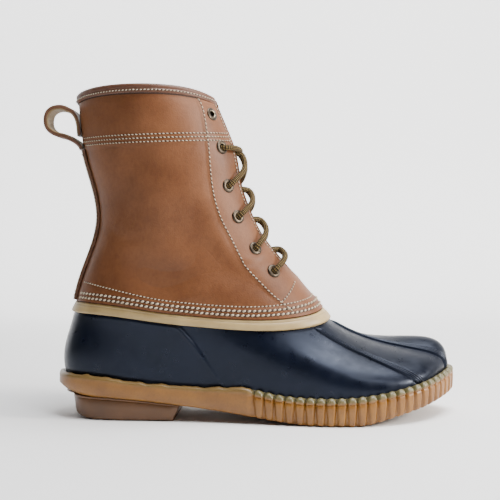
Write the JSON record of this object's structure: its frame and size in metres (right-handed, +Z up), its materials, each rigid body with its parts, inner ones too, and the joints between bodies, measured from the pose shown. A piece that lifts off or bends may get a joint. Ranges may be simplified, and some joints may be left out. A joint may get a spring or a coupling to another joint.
{
  "type": "duck boot",
  "caption": "Lace-up duck boot for the right foot: leather shaft with a collar and pull loop, moulded rubber lower and ribbed rubber sole with a low heel.",
  "frame": {"origin": "on the ground under the middle of the heel block's flat base, on the middle line of the heel", "axes": "+X towards the toe, +Y to the medial side of this right boot, +Z up; it stands on z = 0"},
  "size_m": [0.3113, 0.105, 0.2462],
  "materials": {
    "gum_rubber": "semi-matte gum rubber",
    "navy_rubber": "glossy moulded rubber",
    "cream_rubber": "satin rubber strip",
    "tan_leather": "smooth satin leather",
    "binding_leather": "smooth folded leather",
    "insole_fabric": "matte felt",
    "antique_brass": "antique, satin",
    "lace_cord": "woven round cord"
  },
  "bodies": {
    "root": {"outsole": "gum_rubber", "heel": "gum_rubber", "insole": "insole_fabric", "shell": "navy_rubber", "rim_band": "cream_rubber", "upper": "tan_leather", "tongue": "tan_leather", "collar": "binding_leather", "backstay": "tan_leather", "pull_loop": "tan_leather", "eyelet_lateral_1": "antique_brass", "eyelet_lateral_2": "antique_brass", "eyelet_lateral_3": "antique_brass", "eyelet_lateral_4": "antique_brass", "eyelet_lateral_5": "antique_brass", "eyelet_lateral_6": "antique_brass", "eyelet_medial_1": "antique_brass", "eyelet_medial_2": "antique_brass", "eyelet_medial_3": "antique_brass", "eyelet_medial_4": "antique_brass", "eyelet_medial_5": "antique_brass", "eyelet_medial_6": "antique_brass", "lace_cross_3": "lace_cord", "lace_cross_4": "lace_cord", "lace_cross_5": "lace_cord", "lace_cross_6": "lace_cord", "lace_bar_top": "lace_cord"}
  },
  "joints": []
}
